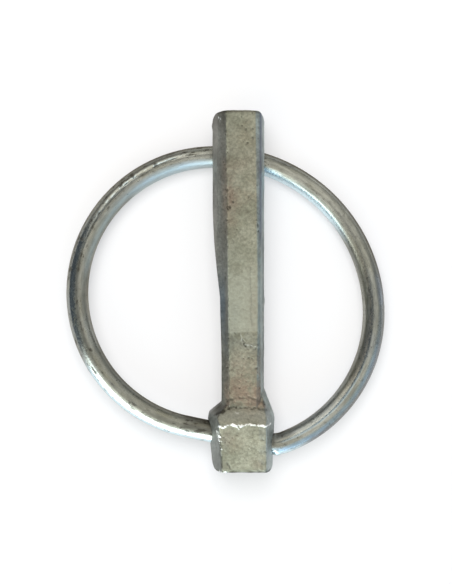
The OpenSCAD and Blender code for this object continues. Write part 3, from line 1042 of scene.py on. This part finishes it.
def pin_material(look):
    """Dull zinc plating over a forged skin: khaki and grey clouds, a cleaner
    patch, rust bloom, dirt in the marks with painted shade at some edges,
    painted shade on the sides that turn left and a painted reflection on those
    that turn right, and bare metal on the burrs painted near white as a glint."""
    material, n = new_material("Forged plating")
    place = n.add("ShaderNodeTexCoord").outputs["Object"]
    cloud, tint, grain, relief = grain_outputs(n, place, 4.2, 0.5)
    dirt, rust, clean, bare, left, right, blue, pale, navy, brown = n.painted(
        "dirt rust clean bare left right blue pale navy brown")
    sides = n.math("ADD", left, right)
    clouds = n.ramp(cloud, 0.36, 0.64)
    flat = n.coats(n.mix(clouds, look.pin_dark, look.pin_light),
                   (n.ramp(tint, 0.50, 0.68), 0.75, look.pin_warm),
                   (clean, 0.95, look.pin_clean), (blue, 0.6, FLAT_BLUE))
    # Painted shade on the sides that turn left, and a painted reflection on those that turn
    # right, each in its own tones
    left_shade = n.coats(n.mix(clouds, LEFT_SHADE_DARK, LEFT_SHADE_LIGHT),
                        (blue, 1.0, LEFT_SHADE_BLUE), (pale, 1.0, LEFT_SHADE_PALE),
                        (brown, 1.0, LEFT_SHADE_BROWN))
    right_sheen = n.coats(n.mix(clouds, RIGHT_SHEEN_DARK, RIGHT_SHEEN_LIGHT),
                         (blue, 1.0, RIGHT_SHEEN_BLUE), (pale, 1.0, RIGHT_SHEEN_PALE),
                         (navy, 1.0, RIGHT_SHEEN_NAVY))
    mottle = n.times(sides, n.ramp(tint, 0.52, 0.40))
    tone = n.coats(flat, (left, 1.0, left_shade), (right, 1.0, right_sheen),
                   (mottle, 0.22, look.grime_and_shade), (rust, 0.85, look.pin_rust))
    grainy = n.math("SUBTRACT", 1.0, n.times(clean, 0.6))
    speckle = n.mix(n.ramp(grain, 0.30, 0.70), (0.79, 0.79, 0.79), (1.19, 1.19, 1.18))
    holes = n.times(grainy, n.ramp(grain, 0.31, 0.22))
    # Dirt and painted shade darken, and the burrs are painted near white as a glint
    tone = n.coats(n.mix(grainy, tone, speckle, "MULTIPLY"),
                   (holes, 0.5, look.grime_and_shade), (dirt, 0.85, look.grime_and_shade),
                   (bare, 1.0, look.bare))
    rough = n.total(n.ramp(grain, 0.3, 0.7, 0.36, 0.46), (dirt, 0.25),
                    (sides, 0.12), (bare, -0.12))
    metal(n, tone, rough, relief, 0.45, 0.0001)
    return material


def ring_material(look):
    """Brighter zinc plating on drawn wire, streaked along its length, with painted shade on
    its sides, painted highlights and a painted sheen along its top.
    """
    material, n = new_material("Wire plating")
    wire = n.add("ShaderNodeAttribute", attribute_name="wire").outputs["Vector"]
    drawn = n.add("ShaderNodeMapping", {"Vector": wire, "Scale": (0.22, 1.0, 1.0)})
    cloud, tint, grain, relief = grain_outputs(n, drawn.outputs["Vector"], 2.6, 0.42)
    speck = n.noise(wire, 2300.0, 2.0, 0.6)
    dirt, rust, fresh, bare, steel, olive, soft = n.painted(
        "dirt rust fresh bare steel olive soft")
    # Tones of the plating, with a painted sheen along the wire's top
    tone = n.coats(n.mix(n.ramp(cloud, 0.36, 0.64), look.ring_dark,
                         look.ring_light),
                   (n.ramp(tint, 0.5, 0.7), 0.5, look.ring_cool),
                   (fresh, 0.55, WIRE_SHEEN), (steel, 1.0, WIRE_STEEL),
                   (rust, 0.7, look.ring_rust), (olive, 0.8, WIRE_OLIVE))
    speckle = n.mix(n.ramp(grain, 0.3, 0.7), (0.84, 0.84, 0.84), (1.16, 1.16, 1.16))
    # Painted highlights, and dirt with painted shade, laid over the tones
    tone = n.coats(n.mix(1.0, tone, speckle, "MULTIPLY"),
                   (n.ramp(speck, 0.36, 0.27), 0.7, look.grime_and_shade),
                   (bare, 0.9, look.ring_highlight), (dirt, 0.85, look.grime_and_shade))
    rough = n.total(n.ramp(speck, 0.3, 0.7, 0.16, 0.25), (soft, 0.33), (dirt, 0.25))
    metal(n, tone, rough, n.math("ADD", relief, n.times(speck, 0.5)),
          0.27, 0.00008, {"Specular Tint": (0.74, 0.70, 0.64)})
    return material


# ------------------------------------------------------------------- stage

def build_floor(setup):
    """A white floor that keeps the part's soft shadow."""
    half = setup.floor_size / 2
    mesh = bpy.data.meshes.new("ground")
    mesh.from_pydata([(-half, -half, 0), (half, -half, 0), (half, half, 0),
                      (-half, half, 0)], [], [(0, 1, 2, 3)])
    floor = new_object("ground", mesh)
    material, n = new_material("White ground")
    path = n.add("ShaderNodeLightPath").outputs
    seen = n.math("MAXIMUM", path["Is Camera Ray"], path["Is Glossy Ray"])
    seen = n.math("MAXIMUM", seen, path["Is Transmission Ray"])
    place = n.add("ShaderNodeTexCoord").outputs["Object"]
    away = n.add("ShaderNodeVectorMath", {0: place}, operation="LENGTH")
    # The key light fades away from the part, so the far ground glows more
    strength = n.ramp(away.outputs["Value"], 0.12, 0.6, 0.425, 0.9)
    plain = n.add("ShaderNodeBsdfDiffuse", {"Color": (0.335, 0.330, 0.331)})
    glow = n.add("ShaderNodeEmission", {"Color": (0.985, 0.98, 0.99),
                                        "Strength": n.times(seen, strength)})
    both = n.add("ShaderNodeAddShader", {0: plain.outputs[0], 1: glow.outputs[0]})
    n.add("ShaderNodeOutputMaterial", {"Surface": both.outputs[0]})
    mesh.materials.append(material)


# Patches of the studio's walls: bearing, half their width and how soft their
# sides are, in degrees, the heights where they fade out and are whole, their
# share and their light. They are a cool one at the head's right, a bluer one
# past the head, a tall one at the head's left, and a plain one to the right
LOW, TALL = (0.88, 0.55), (0.985, 0.90)
PATCHES = ((325, 32, 12, LOW, 1.0, (1.12, 1.36, 1.48)),
           (276, 24, 16, LOW, 1.0, (1.65, 2.20, 2.75)),
           (234, 28, 7, TALL, 1.0, (2.00, 2.08, 1.95)),
           (10, 16, 12, LOW, 0.7, (0.42, 0.45, 0.47)))


def sky_patch(n, around, middle, half, soft):
    """1 where the level direction is near a bearing, 0 away from it."""
    a = math.radians(middle)
    toward = n.math("ADD", n.times(around[0], math.cos(a)), n.times(around[1], math.sin(a)))
    return n.ramp(toward, math.cos(math.radians(half + soft)),
                  math.cos(math.radians(half - soft)))


def build_world():
    """Soft studio light: bright above and dimmer towards the horizon, with
    patches of light on the walls and a dark panel to the left."""
    world = bpy.data.worlds.new("Studio")
    bpy.context.scene.world = world
    world.use_nodes = True
    n = Nodes(world.node_tree)
    direction = n.add("ShaderNodeTexCoord").outputs["Generated"]
    x, y, up = n.add("ShaderNodeSeparateXYZ", {0: direction}).outputs
    level = n.add("ShaderNodeVectorMath", {0: direction, 1: (1, 1, 0)},
                  operation="MULTIPLY").outputs[0]
    level = n.add("ShaderNodeVectorMath", {0: level}, operation="NORMALIZE").outputs[0]
    around = n.add("ShaderNodeSeparateXYZ", {0: level}).outputs
    light = n.mix(n.ramp(up, 0.0, 0.78), (0.50, 0.50, 0.47), (1.0, 0.985, 0.92))
    for middle, half, soft, fade, share, tint in PATCHES:
        patch = n.times(sky_patch(n, around, middle, half, soft), n.ramp(up, *fade))
        light = n.coats(light, (patch, share, tint))
    # The dark panel stands on the left horizon, and narrows and leans toward
    # the tip as it rises almost overhead
    off = n.math("ABSOLUTE", n.math("SUBTRACT", y, n.math("ADD", n.times(x, 0.20), 0.30)))
    half = n.math("SUBTRACT", 0.13, n.times(x, 0.37))
    dark = n.times(n.ramp(n.math("SUBTRACT", half, off), -0.03, 0.05), n.ramp(x, 0.10, -0.12))
    light = n.coats(light, (dark, 0.97, (0.12, 0.155, 0.20)))
    n.add("ShaderNodeOutputWorld", {"Surface": n.add(
        "ShaderNodeBackground", {"Color": light, "Strength": 1.0}).outputs[0]})


def build_lamp(name, azimuth, elevation, distance, size, radiance, tint,
               on_floor=False, on_metal=True):
    """A rectangular lamp that faces the part, as bright as its radiance. It
    lights the floor, or shows in the metal, or both."""
    data = bpy.data.lights.new(name, "AREA")
    data.shape = "RECTANGLE"
    data.size, data.size_y = size
    data.energy = radiance * math.pi * size[0] * size[1]
    data.color = tint
    lamp = new_object(name, data)
    a, e = math.radians(azimuth), math.radians(elevation)
    out = (math.cos(e) * math.cos(a), math.cos(e) * math.sin(a), math.sin(e))
    lamp.location = [distance * v for v in out]
    lamp.rotation_euler = (math.pi / 2 - e, 0.0, a + math.pi / 2)
    lamp.visible_diffuse = on_floor
    lamp.visible_glossy = on_metal


def build_camera(setup):
    """A camera straight above the part, with the tip at the top."""
    data = bpy.data.cameras.new("Camera")
    away = setup.camera_h - setup.ring_plane
    data.lens = data.sensor_width * away / setup.view_h
    data.clip_start = 0.01
    camera = new_object("Camera", data)
    camera.location = (0.0, setup.camera_y, setup.camera_h)
    bpy.context.scene.camera = camera


# --------------------------------------------------------------- operators

class LINCHPIN_OT_pin(bpy.types.Operator):
    """Build the forged pin and its plating"""
    bl_idname = "linchpin.pin"
    bl_label = "Build Pin"

    def execute(self, context):
        scene = context.scene
        piece = build_pin(scene.pin_sizes, scene.ring_sizes)
        piece.data.materials.clear()
        piece.data.materials.append(pin_material(scene.plating_look))
        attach(piece, "pin")
        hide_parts("pin")
        return {"FINISHED"}


class LINCHPIN_OT_ring(bpy.types.Operator):
    """Build the wire ring and its plating"""
    bl_idname = "linchpin.ring"
    bl_label = "Build Ring"

    def execute(self, context):
        scene = context.scene
        piece = build_ring(scene.pin_sizes, scene.ring_sizes)
        piece.data.materials.append(ring_material(scene.plating_look))
        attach(piece, "ring")
        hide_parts("ring")
        return {"FINISHED"}


class LINCHPIN_OT_stage(bpy.types.Operator):
    """Build the floor, the lights and the camera"""
    bl_idname = "linchpin.stage"
    bl_label = "Build Stage"

    def execute(self, context):
        scene = context.scene
        scene.view_settings.view_transform = "Standard"
        build_floor(scene.studio_setup)
        build_world()
        build_lamp("window", 237, 23, 0.7, (0.70, 0.66), 5.0, (0.84, 0.98, 1.0))
        build_lamp("glow", 114, 42, 0.9, (0.50, 0.66), 1.2, (1.0, 0.98, 0.92))
        build_lamp("key", 108, 73, 0.9, (0.54, 0.54), 9.4, (1.0, 1.0, 1.0),
                   on_floor=True, on_metal=False)
        build_camera(scene.studio_setup)
        return {"FINISHED"}


class LINCHPIN_PT_panel(bpy.types.Panel):
    """Buttons that build each piece"""
    bl_idname = "LINCHPIN_PT_panel"
    bl_label = "Linch Pin"
    bl_space_type = "VIEW_3D"
    bl_region_type = "UI"
    bl_category = "Linch Pin"

    def draw(self, context):
        for operator in OPERATORS:
            self.layout.operator(operator.bl_idname)


SETTINGS = {"pin_sizes": PinSizes, "ring_sizes": RingSizes,
            "plating_look": PlatingLook, "studio_setup": StudioSetup}
OPERATORS = (LINCHPIN_OT_pin, LINCHPIN_OT_ring, LINCHPIN_OT_stage)
CLASSES = (*SETTINGS.values(), *OPERATORS, LINCHPIN_PT_panel)


def register():
    """Adds the classes and the scene's settings."""
    for cls in CLASSES:
        bpy.utils.register_class(cls)
    for name, group in SETTINGS.items():
        setattr(bpy.types.Scene, name, bpy.props.PointerProperty(type=group))


def unregister():
    """Takes them away again."""
    for name in SETTINGS:
        delattr(bpy.types.Scene, name)
    for cls in reversed(CLASSES):
        bpy.utils.unregister_class(cls)


def main():
    """Builds every piece in order."""
    register()
    bpy.ops.linchpin.pin()
    bpy.ops.linchpin.ring()
    bpy.ops.linchpin.stage()


if __name__ == "__main__":
    main()
